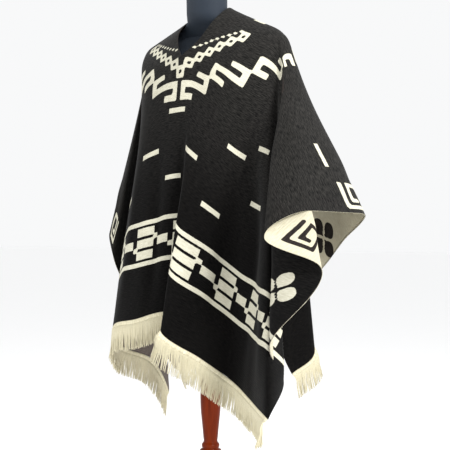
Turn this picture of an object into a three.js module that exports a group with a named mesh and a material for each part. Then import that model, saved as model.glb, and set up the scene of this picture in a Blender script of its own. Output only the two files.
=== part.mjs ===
// A hand-woven serape poncho worn on a limbless dress form with a turned wooden stand.
// Millimetres, +Z up. +X is the wearer's left, -Y is the front.
// The origin is the centre of the stand's underside.
import * as THREE from "three";
import { mergeVertices } from "three/addons/utils/BufferGeometryUtils.js";

// The cut: one woven rectangle with a slit for the head, measured from the shoulder line.
const HALF_WIDTH = 710;
const FRONT_LENGTH = 865;
const BACK_LENGTH = 780;
const WALL = 2.4;
const SEAM_GAP = 0.3;
const SHOULDER_BEND = 35;
const FOLD_FADE = [50, 430];
const SOFTEN_REACH = 260;
const COLUMN_STEP = 43;

// The fringe at the front and back hems.
const HEADER_HEIGHT = 12;
const HEADER_GAP = 0.8;
const STRAND_LENGTH = 70;
const STRAND_SPACING = 11.8;
const LENGTH_SPREAD = 0.06;
const FOLLOW = 0.3;
const STRAND_SWAY = 2;
const TIP_SHARE = 0.4;

// The dress form and its stand.
const FORM_SEGMENTS = 36;
const FORM_BOTTOM = 760;
const POST_TOP = FORM_BOTTOM - SEAM_GAP;
const BASE_RADIUS = 190;
const BASE_HEIGHT = 34;

// The rim of the head opening: distance along the slit from the shoulder line,
// half the opening's width, depth, and the height of the rim on each side.
const NECKLINE_COLUMNS = ["along", "half", "y", "zLeft", "zRight"];
const NECKLINE = [
  [-200, 0, -135, 1322, 1322],
  [-130, 34, -104, 1365, 1360],
  [-60, 56, -66, 1420, 1402],
  [0, 63, -12, 1460, 1437],
  [60, 46, 34, 1462, 1450],
  [100, 0, 50, 1456, 1456],
];

// One row for each fold, corner or turn of the edge, from the front centre round by the
// wearer's left. edgeAcross and edgeAlong place it on the cut's edge, slit on the slit,
// breakAcross and breakAlong where the cloth leaves the body; x, y, z is that break in space.
// heading and lean aim the hanging cloth there, and give is how far the wool has eased.
const FOLD_COLUMNS = [
  "name", "edgeAcross", "edgeAlong", "slit", "breakAcross", "breakAlong",
  "x", "y", "z", "heading", "lean", "give",
];
const W = HALF_WIDTH;
const F = FRONT_LENGTH;
const B = BACK_LENGTH;
const FOLDS = [
  ["front_centre",      0,    -F,  -200,     0,  -270,     0,  -142,  1250,  -102.6,   5.7, 1.012],
  ["front_valley",     75,    -F,  -195,    30,  -270,    28,  -141,  1250,   -57.8,   3.1, 0.999],
  ["front_crest",     190,    -F,  -180,    55,  -265,    52,  -140,  1250,   -94.6,  12.1, 1.064],
  ["front_slope",     300,    -F,  -150,   100,  -215,    98,  -131,  1275,   -78.2,   6.5, 1.086],
  ["front_hollow",    420,    -F,  -100,   140,  -150,   143,  -108,  1305,   -60.3,   3.4, 1.072],
  ["front_rise",      550,    -F,   -60,   165,   -90,   185,   -70,  1335,   -61.2,   8.8, 1.038],
  ["corner_fl",         W,    -F,   -30,   180,   -40,   212,   -30,  1368,   -59.2,  18.1, 1.014],
  ["hollow_l",          W,  -760,   -20,   186,   -20,   219,   -12,  1377,   -54.4,  14.6, 1.004],
  ["flower_edge",       W,  -640,   -12,   187,   -12,   221,    -5,  1380,   -62.6,  20.7, 1.031],
  ["turn_in",           W,  -440,    -8,   187,    -8,   222,     0,  1382,   -43.3,  30.2, 1.026],
  ["lip",               W,  -310,    -4,   187,    -4,   223,     8,  1384,   -65.7,  31.6, 1.047],
  ["arm_front",         W,  -150,     0,   188,     0,   225,    14,  1386,   -48.0,  31.6, 1.030],
  ["tip_l",             W,     0,     0,   189,     2,   226,    22,  1387,    -0.5,  25.6, 1.030],
  ["arm_back",          W,   150,     5,   188,     5,   224,    30,  1386,    36.6,  15.8, 1.050],
  ["back_turn_l",       W,   330,     8,   188,    10,   223,    33,  1383,    83.2,  12.2, 1.068],
  ["back_side_l",       W,   500,    10,   187,    20,   222,    35,  1380,   127.2,   9.6, 1.007],
  ["corner_bl",         W,     B,    20,   180,    50,   212,    55,  1372,   116.6,   9.8, 1.029],
  ["back_fold_l",     600,     B,    40,   165,   100,   190,    90,  1352,    91.8,  10.5, 1.058],
  ["back_slope_l",    420,     B,    60,   140,   170,   140,   115,  1320,    99.1,  10.9, 1.001],
  ["back_crest_l",    250,     B,    80,    90,   210,    85,   125,  1300,    97.0,  16.5, 1.024],
  ["back_valley",      90,     B,    95,    30,   235,    30,   128,  1290,    99.2,   8.0, 1.001],
  ["back_crest_r",    -80,     B,    95,   -30,   235,   -30,   128,  1290,    99.9,  15.0, 1.028],
  ["back_hollow_r",  -250,     B,    80,   -90,   210,   -85,   125,  1300,   108.4,   6.5, 0.975],
  ["back_rise_r",    -420,     B,    60,  -140,   170,  -140,   115,  1320,   106.4,  13.5, 0.989],
  ["corner_br",        -W,     B,    20,  -180,    50,  -212,    55,  1360,   111.8,   9.6, 1.034],
  ["back_side_r",      -W,   500,    10,  -187,    20,  -217,    35,  1365,   158.3,   7.7, 1.002],
  ["back_turn_r",      -W,   250,     6,  -188,     8,  -218,    30,  1367,   149.2,  14.5, 0.982],
  ["tip_r",            -W,     0,     0,  -189,     2,  -219,    22,  1368,  -168.0,  14.6, 1.010],
  ["arm_front_r",      -W,  -250,    -6,  -188,    -6,  -217,     8,  1367,  -132.8,  10.6, 1.012],
  ["side_hollow_r",    -W,  -500,   -15,  -187,   -15,  -215,    -5,  1366,   158.5,   7.7, 0.999],
  ["corner_fr",        -W,    -F,   -30,  -180,   -40,  -212,   -30,  1358,   102.6,  10.1, 1.013],
  ["far_hollow",     -550,    -F,   -60,  -165,   -90,  -185,   -70,  1335,   116.1,   8.3, 0.986],
  ["far_bulge",      -400,    -F,  -100,  -140,  -150,  -143,  -108,  1305,   153.6,  11.2, 1.038],
  ["front_edge_r",   -220,    -F,  -150,  -100,  -215,   -98,  -131,  1275,  -145.5,   8.6, 1.015],
  ["front_panel_r",  -110,    -F,  -180,   -55,  -265,   -52,  -140,  1250,  -119.4,   7.5, 1.040],
];

// Rings of the cloth: shares of the way from the rim to the break, then on to the edge.
const BODY_RINGS = [0, 0.35, 0.65, 0.82, 0.93, 1];
const HANG_RINGS = [0.022, 0.05, 0.1, 0.18, 0.28, 0.39, 0.5, 0.61, 0.72, 0.82, 0.91, 1];

const named = (columns, rows) =>
  rows.map((row) => Object.fromEntries(columns.map((key, i) => [key, row[i]])));
const folds = named(FOLD_COLUMNS, FOLDS);
const neckline = named(NECKLINE_COLUMNS, NECKLINE);
const radians = THREE.MathUtils.degToRad;
const BACK_SPLIT = "back_crest_r";

// Distance of each fold along the cut's edge, and the whole way round.
const stations = [];
let edgeTotal = 0;
folds.forEach((fold, i) => {
  stations.push(edgeTotal);
  const next = folds[(i + 1) % folds.length];
  edgeTotal += Math.hypot(next.edgeAcross - fold.edgeAcross, next.edgeAlong - fold.edgeAlong);
});
const backSplit = stations[folds.findIndex((fold) => fold.name === BACK_SPLIT)];

for (const fold of folds) {
  const lean = radians(fold.lean);
  const heading = radians(fold.heading);
  fold.dx = Math.sin(lean) * Math.cos(heading);
  fold.dy = Math.sin(lean) * Math.sin(heading);
  fold.dz = -Math.cos(lean);
}

// A smooth curve through uneven knots; wrap is the period of a closed one, or 0.
function smooth(knots, values, at, wrap) {
  const n = knots.length;
  const pick = (i) => {
    if (!wrap) {
      const j = Math.min(Math.max(i, 0), n - 1);
      return [knots[j], values[j]];
    }
    const turns = Math.floor(i / n);
    const j = i - turns * n;
    return [knots[j] + turns * wrap, values[j]];
  };
  let k = 0;
  while (k < n - 1 && knots[k + 1] <= at) k += 1;
  if (!wrap) k = Math.min(k, n - 2);
  const [x0, y0] = pick(k - 1);
  const [x1, y1] = pick(k);
  const [x2, y2] = pick(k + 1);
  const [x3, y3] = pick(k + 2);
  const slope = (y2 - y1) / (x2 - x1);
  const before = x1 > x0 ? (y1 - y0) / (x1 - x0) : slope;
  const after = x3 > x2 ? (y3 - y2) / (x3 - x2) : slope;
  const h = x2 - x1;
  const m1 = x1 > x0 ? (before * h + slope * (x1 - x0)) / (x2 - x0) : slope;
  const m2 = x3 > x2 ? (slope * (x3 - x2) + after * h) / (x3 - x1) : slope;
  const t = (at - x1) / h;
  const t2 = t * t;
  const t3 = t2 * t;
  return (2 * t3 - 3 * t2 + 1) * y1 + (t3 - 2 * t2 + t) * h * m1
    + (3 * t2 - 2 * t3) * y2 + (t3 - t2) * h * m2;
}

const wrapStation = (s) => ((s % edgeTotal) + edgeTotal) % edgeTotal;
const foldValue = (key, s) =>
  smooth(stations, folds.map((fold) => fold[key]), wrapStation(s), edgeTotal);

function linearValue(key, s) {
  const at = wrapStation(s);
  let k = stations.length - 1;
  while (k > 0 && stations[k] > at) k -= 1;
  const next = k + 1 < stations.length ? stations[k + 1] : edgeTotal;
  const t = (at - stations[k]) / (next - stations[k]);
  return THREE.MathUtils.lerp(folds[k][key], folds[(k + 1) % folds.length][key], t);
}

const aim = (s) =>
  new THREE.Vector3(foldValue("dx", s), foldValue("dy", s), foldValue("dz", s)).normalize();

// The hanging direction with its folds smoothed away, as the cloth lies by the shoulder.
function softAim(s) {
  const sum = new THREE.Vector3();
  for (let i = -6; i <= 6; i += 1) {
    sum.addScaledVector(aim(s + (i / 6) * SOFTEN_REACH), 1 + Math.cos((Math.PI * i) / 7));
  }
  return sum.normalize();
}

function rimPoint(slit, left) {
  const knots = neckline.map((row) => row.along);
  const value = (key) => smooth(knots, neckline.map((row) => row[key]), slit, 0);
  const half = Math.max(value("half"), 0);
  return new THREE.Vector3(left ? half : -half, value("y"), value(left ? "zLeft" : "zRight"));
}

// One line of the cloth from the rim over the break to the edge.
function line(s) {
  const left = s < backSplit - 85 || s > edgeTotal - 1e-6;
  const rim = rimPoint(linearValue("slit", s), left);
  const hinge = new THREE.Vector3(foldValue("x", s), foldValue("y", s), foldValue("z", s));
  const flat = Math.hypot(
    linearValue("edgeAcross", s) - foldValue("breakAcross", s),
    linearValue("edgeAlong", s) - foldValue("breakAlong", s),
  );
  const hang = flat * foldValue("give", s);
  const upper = hinge.clone().sub(rim);
  const reach = upper.length();
  upper.normalize();
  const sharp = aim(s);
  const soft = softAim(s);
  const bend = Math.min(SHOULDER_BEND, 0.8 * reach);
  const hanging = (x) => {
    const way = THREE.MathUtils.smoothstep(x, ...FOLD_FADE);
    const direction = soft.clone().lerp(sharp, way).normalize();
    return hinge.clone().addScaledVector(direction, x);
  };
  const at = (x) => {
    if (x <= -bend) return hinge.clone().addScaledVector(upper, x);
    if (x >= bend) return hanging(x);
    const w = (x + bend) / (2 * bend);
    const start = hinge.clone().addScaledVector(upper, -bend).multiplyScalar((1 - w) ** 2);
    const middle = hinge.clone().multiplyScalar(2 * w * (1 - w));
    return start.add(middle).add(hanging(bend).multiplyScalar(w ** 2));
  };
  return { at, reach, hang };
}

function edgeColumns() {
  const columns = [];
  folds.forEach((fold, i) => {
    const end = i + 1 < folds.length ? stations[i + 1] : edgeTotal;
    const steps = Math.max(2, Math.round((end - stations[i]) / COLUMN_STEP));
    for (let j = 0; j < steps; j += 1) {
      columns.push(stations[i] + ((end - stations[i]) * j) / steps);
    }
  });
  return columns;
}

// Middle points of the cloth: grid[ring][column], and the outward normal at each.
function clothGrid(columns) {
  const lines = columns.map(line);
  const grid = [
    ...BODY_RINGS.map((t) => lines.map((l) => l.at((t - 1) * l.reach))),
    ...HANG_RINGS.map((t) => lines.map((l) => l.at(t * l.hang))),
  ];
  const count = columns.length;
  const normals = grid.map((ring, r) => ring.map((_, c) => {
    const above = grid[Math.max(r - 1, 0)][c];
    const below = grid[Math.min(r + 1, grid.length - 1)][c];
    const before = ring[(c + count - 1) % count];
    const after = ring[(c + 1) % count];
    const along = after.clone().sub(before);
    return along.cross(above.clone().sub(below)).normalize();
  }));
  return { grid, normals };
}

function meshFrom(points, faces) {
  const geometry = new THREE.BufferGeometry();
  geometry.setAttribute("position", new THREE.Float32BufferAttribute(points.flat(), 3));
  geometry.setIndex(faces.flat());
  return geometry;
}

function quad(faces, a, b, c, d) {
  faces.push([a, b, c], [a, c, d]);
}

function clothWall({ grid, normals }) {
  const rings = grid.length;
  const count = grid[0].length;
  const points = [];
  for (const side of [0.5, -0.5]) {
    grid.forEach((ring, r) => ring.forEach((point, c) => {
      points.push(point.clone().addScaledVector(normals[r][c], side * WALL).toArray());
    }));
  }
  const outer = (r, c) => r * count + (c % count);
  const inner = (r, c) => rings * count + r * count + (c % count);
  const faces = [];
  for (let c = 0; c < count; c += 1) {
    for (let r = 0; r < rings - 1; r += 1) {
      quad(faces, outer(r, c), outer(r + 1, c), outer(r + 1, c + 1), outer(r, c + 1));
      quad(faces, inner(r, c), inner(r, c + 1), inner(r + 1, c + 1), inner(r + 1, c));
    }
    quad(faces, outer(0, c), outer(0, c + 1), inner(0, c + 1), inner(0, c));
    quad(faces, outer(rings - 1, c), inner(rings - 1, c), inner(rings - 1, c + 1),
      outer(rings - 1, c + 1));
  }
  return meshFrom(points, faces);
}

// A header strip just below one hem; each step of its underside runs down into one strand.
function fringe({ grid, normals }, columns, first, last) {
  const edge = grid.length - 1;
  const count = grid[0].length;
  const frames = [];
  for (let i = first; i <= last; i += 1) {
    const c = i % count;
    const before = grid[edge][i === first ? c : (i - 1) % count];
    const after = grid[edge][i === last ? c : (i + 1) % count];
    const out = normals[edge][c];
    const down = out.clone().cross(after.clone().sub(before)).negate().normalize();
    frames.push({ point: grid[edge][c], down, out, s: columns[c] + (i >= count ? edgeTotal : 0) });
  }
  const steps = [frames[0]];
  for (let i = 0; i < frames.length - 1; i += 1) {
    const [a, b] = [frames[i], frames[i + 1]];
    const parts = Math.max(1, Math.round((b.s - a.s) / STRAND_SPACING));
    for (let j = 1; j <= parts; j += 1) {
      const mix = (key) => a[key].clone().lerp(b[key], j / parts);
      steps.push({ point: mix("point"), down: mix("down"), out: mix("out") });
    }
  }
  const points = [];
  const faces = [];
  for (const { point, down, out } of steps) {
    for (const [drop, side] of [[0, 0.5], [1, 0.5], [1, -0.5], [0, -0.5]]) {
      points.push(point.clone()
        .addScaledVector(down, HEADER_GAP + drop * HEADER_HEIGHT)
        .addScaledVector(out, side * WALL));
    }
  }
  for (let i = 0; i < steps.length - 1; i += 1) {
    const near = i * 4;
    const next = near + 4;
    quad(faces, near, near + 1, next + 1, next);
    quad(faces, near + 2, near + 3, next + 3, next + 2);
    quad(faces, near, next, next + 3, near + 3);
    const root = [near + 1, near + 2, next + 2, next + 1];
    const centre = new THREE.Vector3();
    for (const k of root) centre.addScaledVector(points[k], 0.25);
    const along = points[next + 1].clone().sub(points[near + 1]).normalize();
    const length = STRAND_LENGTH * (1 - LENGTH_SPREAD * Math.abs(Math.sin(i * 1.7)));
    const tip = centre.clone().addScaledVector(steps[i].down, FOLLOW * length)
      .addScaledVector(new THREE.Vector3(0, 0, -1), (1 - FOLLOW) * length)
      .addScaledVector(along, STRAND_SWAY * Math.sin(i * 2.4));
    const low = points.length;
    for (const k of root) {
      points.push(points[k].clone().sub(centre).multiplyScalar(TIP_SHARE).add(tip));
    }
    for (let j = 0; j < 4; j += 1) {
      const k = (j + 1) % 4;
      quad(faces, root[j], root[k], low + k, low + j);
    }
    quad(faces, low, low + 1, low + 2, low + 3);
  }
  const end = (steps.length - 1) * 4;
  quad(faces, 0, 3, 2, 1);
  quad(faces, end, end + 1, end + 2, end + 3);
  return meshFrom(points.map((point) => point.toArray()), faces);
}

// The form's level sections: height, half width, half depth and centre of depth.
const FORM_COLUMNS = ["z", "half", "depth", "y"];
const FORM = [
  [FORM_BOTTOM, 120, 92, 0],
  [FORM_BOTTOM + 14, 146, 108, 0],
  [860, 152, 112, 0],
  [980, 132, 94, 0],
  [1080, 138, 96, -2],
  [1180, 152, 104, -6],
  [1260, 165, 102, -6],
  [1310, 172, 92, 0],
  [1345, 177, 74, 4],
  [1375, 174, 52, 10],
  [1391, 154, 40, 10],
  [1406, 118.2, 40, 4],
  [1419, 82.5, 42, -4],
  [1430, 60.5, 48, -13],
  [1450, 57, 55, -17],
  [1500, 57, 56, -18],
  [1528, 57, 56, -19],
  [1536, 50, 49, -19],
];

function levelBody(sections, segments) {
  const points = [];
  for (const { z, half, depth, y } of sections) {
    for (let i = 0; i < segments; i += 1) {
      const a = (2 * Math.PI * i) / segments;
      points.push([half * Math.cos(a), y + depth * Math.sin(a), z]);
    }
  }
  const faces = [];
  for (let r = 0; r < sections.length - 1; r += 1) {
    for (let i = 0; i < segments; i += 1) {
      const j = (i + 1) % segments;
      quad(faces, r * segments + i, r * segments + j, (r + 1) * segments + j,
        (r + 1) * segments + i);
    }
  }
  const low = points.length;
  points.push([0, sections[0].y, sections[0].z]);
  const high = points.length;
  const last = sections[sections.length - 1];
  points.push([0, last.y, last.z]);
  const top = (sections.length - 1) * segments;
  for (let i = 0; i < segments; i += 1) {
    const j = (i + 1) % segments;
    faces.push([low, j, i], [high, top + i, top + j]);
  }
  return meshFrom(points, faces);
}

// A turned piece from its profile of radius and height.
function turned(profile, segments) {
  const geometry = new THREE.LatheGeometry(
    profile.map(([radius, z]) => new THREE.Vector2(radius, z)), segments);
  geometry.rotateX(Math.PI / 2);
  geometry.deleteAttribute("normal");
  geometry.deleteAttribute("uv");
  return mergeVertices(geometry, 1e-4);
}

const POST_PROFILE = [
  [0, BASE_HEIGHT + SEAM_GAP], [30, BASE_HEIGHT + SEAM_GAP], [34, 60], [31, 120], [24, 160],
  [20, 190], [23, 212], [28, 226], [28.4, 262], [22.5, 266], [23.8, 270], [23.8, 277],
  [19.4, 283], [20, 296], [23, 330], [26.5, 366], [28, 402], [27, 440], [25, 490], [22, 550],
  [21, 620], [24, 680], [26, 700], [21, 715], [19, POST_TOP], [0, POST_TOP],
];
const BASE_PROFILE = [
  [0, 0], [BASE_RADIUS - 6, 0], [BASE_RADIUS, 6], [BASE_RADIUS - 2, 16],
  [BASE_RADIUS - 16, 22], [BASE_RADIUS - 90, 28], [60, BASE_HEIGHT], [0, BASE_HEIGHT],
];

const columns = edgeColumns();
const cloth = clothGrid(columns);
const hemColumn = (name) => {
  const at = stations[folds.findIndex((fold) => fold.name === name)];
  return columns.findIndex((s) => Math.abs(s - at) < 1e-6);
};

const COLOURS = { charcoal: 0x2b2725, cream: 0xe8e3c8, navy: 0x1d2838, cherry: 0x6e2216 };
function piece(name, geometry, color, roughness) {
  const mesh = new THREE.Mesh(
    geometry, new THREE.MeshStandardMaterial({ color, roughness, metalness: 0 }));
  mesh.name = name;
  return mesh;
}

const group = new THREE.Group();
group.add(
  piece("poncho_cloth", clothWall(cloth), COLOURS.charcoal, 0.95),
  piece("fringe_front", fringe(cloth, columns, hemColumn("corner_fr"),
    hemColumn("corner_fl") + columns.length), COLOURS.cream, 0.9),
  piece("fringe_back", fringe(cloth, columns, hemColumn("corner_bl"), hemColumn("corner_br")),
    COLOURS.cream, 0.9),
  piece("form_torso", levelBody(named(FORM_COLUMNS, FORM), FORM_SEGMENTS), COLOURS.navy, 0.9),
  piece("stand_post", turned(POST_PROFILE, 28), COLOURS.cherry, 0.25),
  piece("stand_base", turned(BASE_PROFILE, 40), COLOURS.cherry, 0.25),
);
export default group;
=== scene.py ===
import math

import bmesh
import bpy
import numpy as np
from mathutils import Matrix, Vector
from mathutils.bvhtree import BVHTree


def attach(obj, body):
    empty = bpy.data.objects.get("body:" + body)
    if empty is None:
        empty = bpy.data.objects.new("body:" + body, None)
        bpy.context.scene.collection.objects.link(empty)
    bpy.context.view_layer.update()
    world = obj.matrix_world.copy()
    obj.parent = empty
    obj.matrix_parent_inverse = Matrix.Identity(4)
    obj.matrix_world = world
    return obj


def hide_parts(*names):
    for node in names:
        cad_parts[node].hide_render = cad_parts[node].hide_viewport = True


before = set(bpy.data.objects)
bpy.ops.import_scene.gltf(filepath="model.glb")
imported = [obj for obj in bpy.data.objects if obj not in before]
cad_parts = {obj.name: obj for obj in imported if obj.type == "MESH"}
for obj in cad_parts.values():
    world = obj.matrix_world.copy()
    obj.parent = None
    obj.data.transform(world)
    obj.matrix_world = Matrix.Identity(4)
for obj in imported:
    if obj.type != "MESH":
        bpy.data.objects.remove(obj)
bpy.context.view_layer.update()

# Sizes are in millimetres here and leave as metres. A place on the cut cloth
# is given across, plus to the wearer's left, and along, minus to the front.
MM_PER_M = 1000
HALF_WIDTH = 710
FRONT_HEM = -865
BACK_HEM = 780
SLIT_FRONT = -200
SLIT_BACK = 100
HALF_WALL = 1.15

# The hinge is rounded over BEND on both sides. Past it each ruling leaves in
# a calm way, the mean over SOFTEN_REACH, and takes its own between the fades.
BEND = 35
BEND_SHARE = 0.8
FADE_START = 50
FADE_END = 430
SOFTEN_REACH = 260
SOFTEN_STEPS = 6
SPLIT_BEFORE = 85

# The rulings' spacing along the edge, and the rows before and past the hinge.
RULING_STEP = 7
NECK_ROWS = 16
HANGING_ROWS = 96
END_GAP = 1e-6
SPLIT_GAP = 1e-3

# Neckline stations: along the cloth, half width, y, z left, z right.
NECKLINE = [
    (-200, 0, -135, 1322, 1322),
    (-130, 34, -104, 1365, 1360),
    (-60, 56, -66, 1420, 1402),
    (0, 63, -12, 1460, 1437),
    (60, 46, 34, 1462, 1450),
    (100, 0, 50, 1456, 1456),
]

# One row a fold, round the cloth from the front slit by the wearer's left.
# Name, edge across, edge along, slit, break across, break along, then the
# hinge x, y, z, the fold's heading and lean in degrees, and its give.
FOLDS = [
    ("front_centre", 0, -865, -200, 0, -270, 0, -142, 1250, -102.6, 5.7, 1.012),
    ("front_valley", 75, -865, -195, 30, -270, 28, -141, 1250, -57.8, 3.1, 0.999),
    ("front_crest", 190, -865, -180, 55, -265, 52, -140, 1250, -94.6, 12.1, 1.064),
    ("front_slope", 300, -865, -150, 100, -215, 98, -131, 1275, -78.2, 6.5, 1.086),
    ("front_hollow", 420, -865, -100, 140, -150, 143, -108, 1305, -60.3, 3.4, 1.072),
    ("front_rise", 550, -865, -60, 165, -90, 185, -70, 1335, -61.2, 8.8, 1.038),
    ("corner_fl", 710, -865, -30, 180, -40, 212, -30, 1368, -59.2, 18.1, 1.014),
    ("hollow_l", 710, -760, -20, 186, -20, 219, -12, 1377, -54.4, 14.6, 1.004),
    ("flower_edge", 710, -640, -12, 187, -12, 221, -5, 1380, -62.6, 20.7, 1.031),
    ("turn_in", 710, -440, -8, 187, -8, 222, 0, 1382, -43.3, 30.2, 1.026),
    ("lip", 710, -310, -4, 187, -4, 223, 8, 1384, -65.7, 31.6, 1.047),
    ("arm_front", 710, -150, 0, 188, 0, 225, 14, 1386, -48.0, 31.6, 1.030),
    ("tip_l", 710, 0, 0, 189, 2, 226, 22, 1387, -0.5, 25.6, 1.030),
    ("arm_back", 710, 150, 5, 188, 5, 224, 30, 1386, 36.6, 15.8, 1.050),
    ("back_turn_l", 710, 330, 8, 188, 10, 223, 33, 1383, 83.2, 12.2, 1.068),
    ("back_side_l", 710, 500, 10, 187, 20, 222, 35, 1380, 127.2, 9.6, 1.007),
    ("corner_bl", 710, 780, 20, 180, 50, 212, 55, 1372, 116.6, 9.8, 1.029),
    ("back_fold_l", 600, 780, 40, 165, 100, 190, 90, 1352, 91.8, 10.5, 1.058),
    ("back_slope_l", 420, 780, 60, 140, 170, 140, 115, 1320, 99.1, 10.9, 1.001),
    ("back_crest_l", 250, 780, 80, 90, 210, 85, 125, 1300, 97.0, 16.5, 1.024),
    ("back_valley", 90, 780, 95, 30, 235, 30, 128, 1290, 99.2, 8.0, 1.001),
    ("back_crest_r", -80, 780, 95, -30, 235, -30, 128, 1290, 99.9, 15.0, 1.028),
    ("back_hollow_r", -250, 780, 80, -90, 210, -85, 125, 1300, 108.4, 6.5, 0.975),
    ("back_rise_r", -420, 780, 60, -140, 170, -140, 115, 1320, 106.4, 13.5, 0.989),
    ("corner_br", -710, 780, 20, -180, 50, -212, 55, 1360, 111.8, 9.6, 1.034),
    ("back_side_r", -710, 500, 10, -187, 20, -217, 35, 1365, 158.3, 7.7, 1.002),
    ("back_turn_r", -710, 250, 6, -188, 8, -218, 30, 1367, 149.2, 14.5, 0.982),
    ("tip_r", -710, 0, 0, -189, 2, -219, 22, 1368, -168.0, 14.6, 1.010),
    ("arm_front_r", -710, -250, -6, -188, -6, -217, 8, 1367, -132.8, 10.6, 1.012),
    ("side_hollow_r", -710, -500, -15, -187, -15, -215, -5, 1366, 158.5, 7.7, 0.999),
    ("corner_fr", -710, -865, -30, -180, -40, -212, -30, 1358, 102.6, 10.1, 1.013),
    ("far_hollow", -550, -865, -60, -165, -90, -185, -70, 1335, 116.1, 8.3, 0.986),
    ("far_bulge", -400, -865, -100, -140, -150, -143, -108, 1305, 153.6, 11.2, 1.038),
    ("front_edge_r", -220, -865, -150, -100, -215, -98, -131, 1275, -145.5, 8.6, 1.015),
    ("front_panel_r", -110, -865, -180, -55, -265, -52, -140, 1250, -119.4, 7.5, 1.040),
]

fold_names = [row[0] for row in FOLDS]
fold_table = np.array([row[1:] for row in FOLDS], float)
edge_knots = fold_table[:, 0:2]
slit_knots = fold_table[:, 2]
break_knots = fold_table[:, 3:5]
hinge_knots = fold_table[:, 5:8]
heading = np.radians(fold_table[:, 8])
lean = np.radians(fold_table[:, 9])
give_knots = fold_table[:, 10]
aim_knots = np.stack(
    [np.sin(lean) * np.cos(heading), np.sin(lean) * np.sin(heading), -np.cos(lean)], 1
)
edge_lengths = np.linalg.norm(np.roll(edge_knots, -1, 0) - edge_knots, axis=1)
stations = np.concatenate([[0], np.cumsum(edge_lengths)[:-1]])
total = edge_lengths.sum()
# Past this station the rulings start from the neckline's right half.
split = stations[fold_names.index("back_crest_r")] - SPLIT_BEFORE


def unit(vectors):
    return vectors / np.linalg.norm(vectors, axis=-1, keepdims=True)


def smooth(knots, values, at, wrap=0.0):
    """A cubic through the knots, closed on itself where wrap is its length."""
    knots = np.asarray(knots, float)
    values = np.asarray(values, float)
    plain = values.ndim == 1
    if plain:
        values = values[:, None]
    if wrap:
        knots = np.concatenate([knots[-2:] - wrap, knots, knots[:3] + wrap])
        values = np.concatenate([values[-2:], values, values[:3]])
        at = np.mod(at, wrap)
    step = np.diff(knots)
    slope = np.diff(values, axis=0) / step[:, None]
    tangent = np.empty_like(values)
    tangent[0] = slope[0]
    tangent[-1] = slope[-1]
    weighted = slope[:-1] * step[1:, None] + slope[1:] * step[:-1, None]
    tangent[1:-1] = weighted / (step[1:] + step[:-1])[:, None]
    k = np.clip(np.searchsorted(knots, at, side="right") - 1, 0, len(knots) - 2)
    t = ((at - knots[k]) / step[k])[:, None]
    h = step[k][:, None]
    out = (2 * t**3 - 3 * t**2 + 1) * values[k] + (t**3 - 2 * t**2 + t) * h * tangent[k]
    out = out + (3 * t**2 - 2 * t**3) * values[k + 1] + (t**3 - t**2) * h * tangent[k + 1]
    return out[:, 0] if plain else out


def ramp(values, low, high):
    """An even rise from 0 at low to 1 at high, with soft ends."""
    t = np.clip((values - low) / (high - low), 0, 1)
    return t * t * (3 - 2 * t)


def around(values, at):
    """Values of the folds, straight between them, at places round the edge."""
    closed = np.append(stations, total)
    return np.interp(at, closed, np.append(values, values[0]))


def aim(at):
    return unit(smooth(stations, aim_knots, at, total))


def calm_aim(at):
    """The mean of the aims within the softening reach, nearer ones first."""
    spread = np.arange(-SOFTEN_STEPS, SOFTEN_STEPS + 1)
    weights = 1 + np.cos(math.pi * spread / (SOFTEN_STEPS + 1))
    offsets = spread / SOFTEN_STEPS * SOFTEN_REACH
    return unit(sum(weight * aim(at + offset) for offset, weight in zip(offsets, weights)))


def rulings(at):
    """The straight-in, curved-over and hanging parts of each ruling."""
    neck = np.array(NECKLINE, float)
    rim_row = smooth(neck[:, 0], neck[:, 1:], around(slit_knots, at))
    left = at < split
    half = np.maximum(rim_row[:, 0], 0)
    rim_height = np.where(left, rim_row[:, 2], rim_row[:, 3])
    rim = np.stack([np.where(left, half, -half), rim_row[:, 1], rim_height], 1)
    hinge = smooth(stations, hinge_knots, at, total)
    edge = np.stack([around(edge_knots[:, 0], at), around(edge_knots[:, 1], at)], 1)
    fold = smooth(stations, break_knots, at, total)
    give = smooth(stations, give_knots, at, total)
    up = hinge - rim
    reach = np.linalg.norm(up, axis=1)
    return {
        "hinge": hinge,
        "up": up / reach[:, None],
        "reach": reach,
        "bend": np.minimum(BEND, BEND_SHARE * reach),
        "sharp": aim(at),
        "calm": calm_aim(at),
        "hang": np.linalg.norm(edge - fold, axis=1) * give,
        "slit": np.stack([0 * at, around(slit_knots, at)], 1),
        "fold": fold,
        "edge": edge,
    }


def hanging(line, past):
    """Points past each hinge, where the calm way fades into the sharp one."""
    blend = ramp(past, FADE_START, FADE_END)[:, None]
    way = unit(line["calm"] * (1 - blend) + line["sharp"] * blend)
    return line["hinge"] + way * past[:, None]


def place(line, past):
    """Points past each ruling's hinge, or before it where past is negative."""
    past = past * np.ones(len(line["reach"]))
    bend = line["bend"]
    part = np.clip((past + bend) / (2 * bend), 0, 1)[:, None]
    start = line["hinge"] - line["up"] * bend[:, None]
    stop = hanging(line, bend)
    arc = start * (1 - part) ** 2 + line["hinge"] * 2 * part * (1 - part) + stop * part**2
    before = line["hinge"] + line["up"] * past[:, None]
    out = np.where((past >= bend)[:, None], hanging(line, past), arc)
    return np.where((past <= -bend)[:, None], before, out)


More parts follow.
